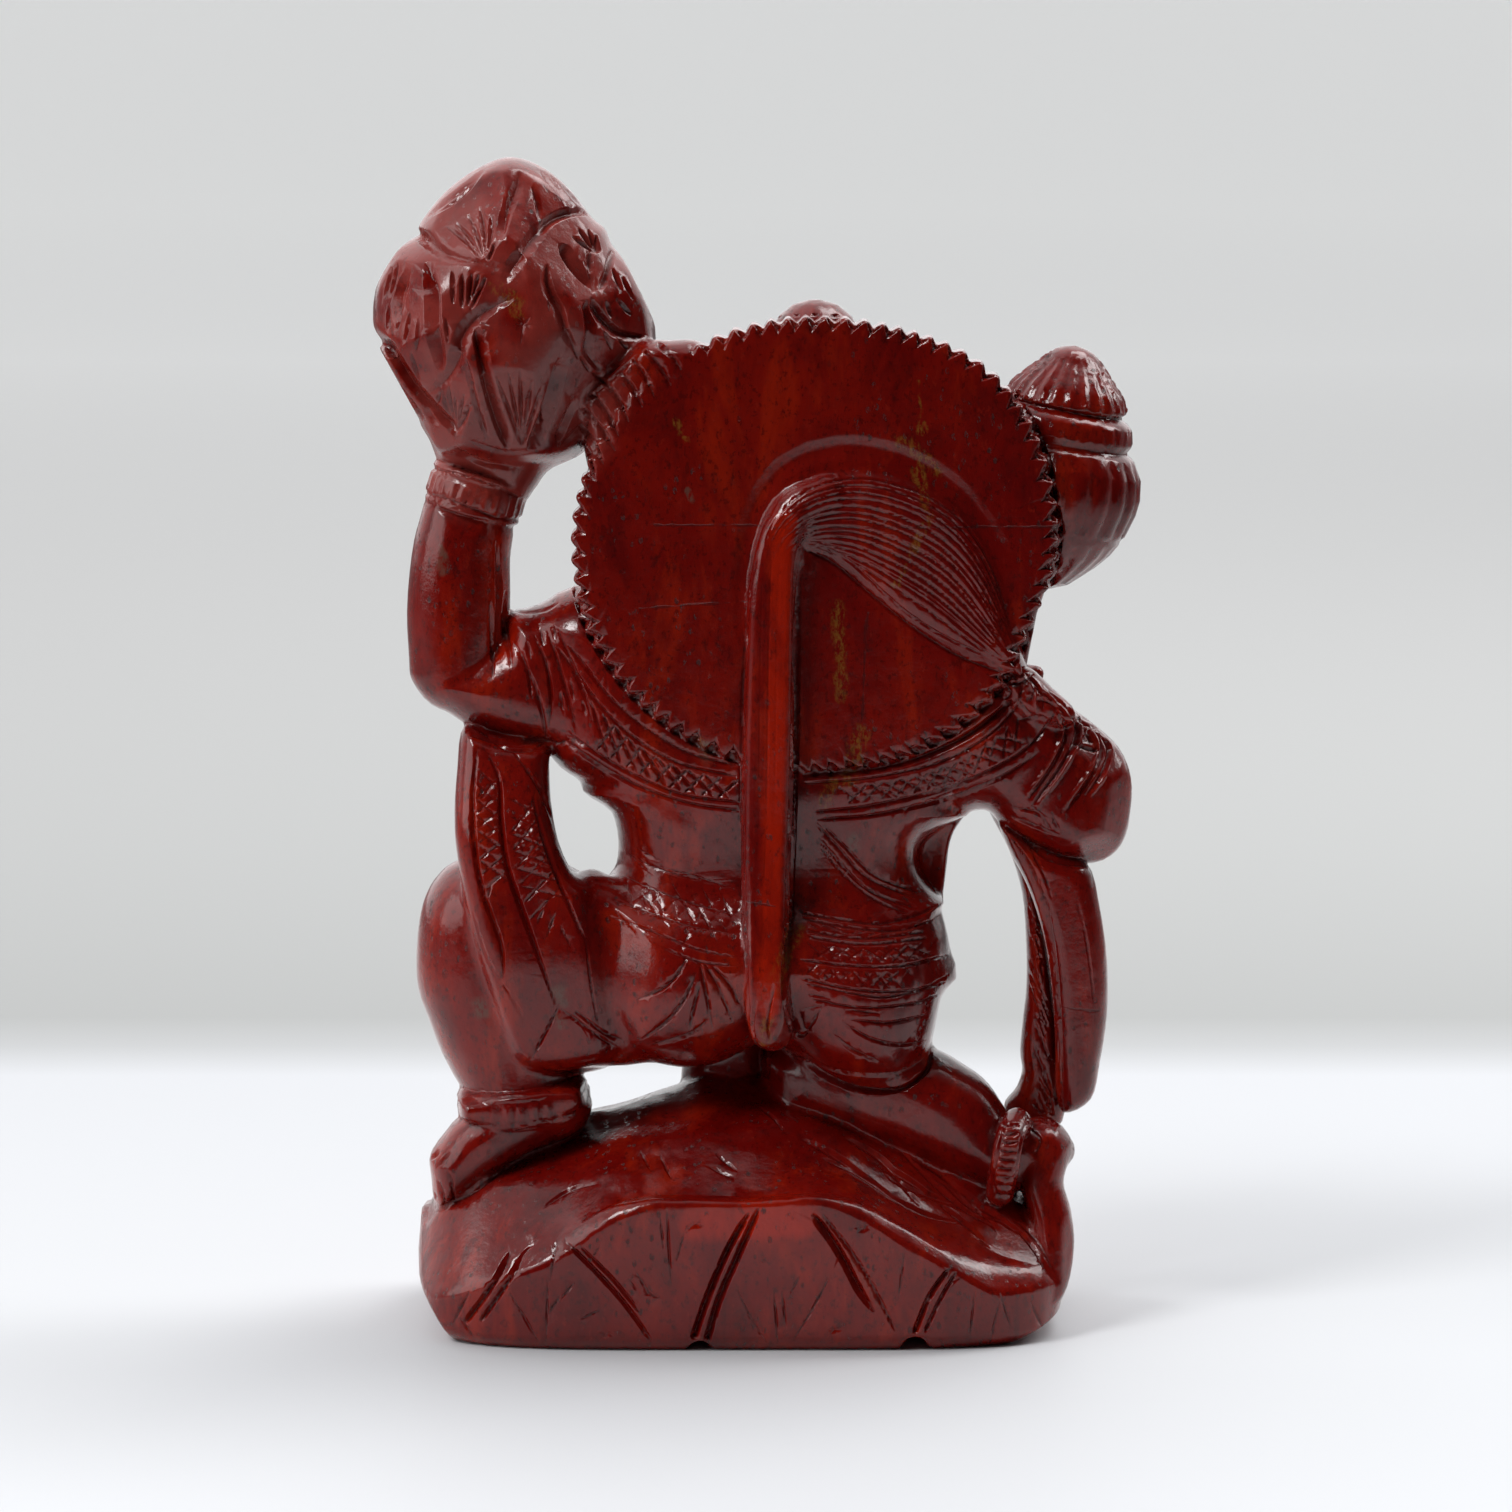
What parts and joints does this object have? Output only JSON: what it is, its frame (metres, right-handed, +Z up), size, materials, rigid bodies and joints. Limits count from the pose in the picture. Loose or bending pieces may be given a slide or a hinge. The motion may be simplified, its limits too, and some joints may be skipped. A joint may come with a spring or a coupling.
{
  "type": "carved stone hanuman figure",
  "caption": "Kneeling hanuman figure carved from red jasper, lifting a mountain and holding a mace, with a toothed halo and a tail up the back, on a rock mound.",
  "frame": {"origin": "on the flat underside of the rock mound, below the middle of the figure's box", "axes": "+Z up, +Y the way the figure faces, so its halo and tail are towards -Y; +X towards the mace, its right side"},
  "size_m": [0.1532, 0.0714, 0.233],
  "materials": {
    "jasper": "polished red jasper: oxblood to brick red stone with orange streaks, ochre veins, dark specks and fine cracks"
  },
  "bodies": {
    "root": {"hanuman_figure": "jasper"}
  },
  "joints": []
}
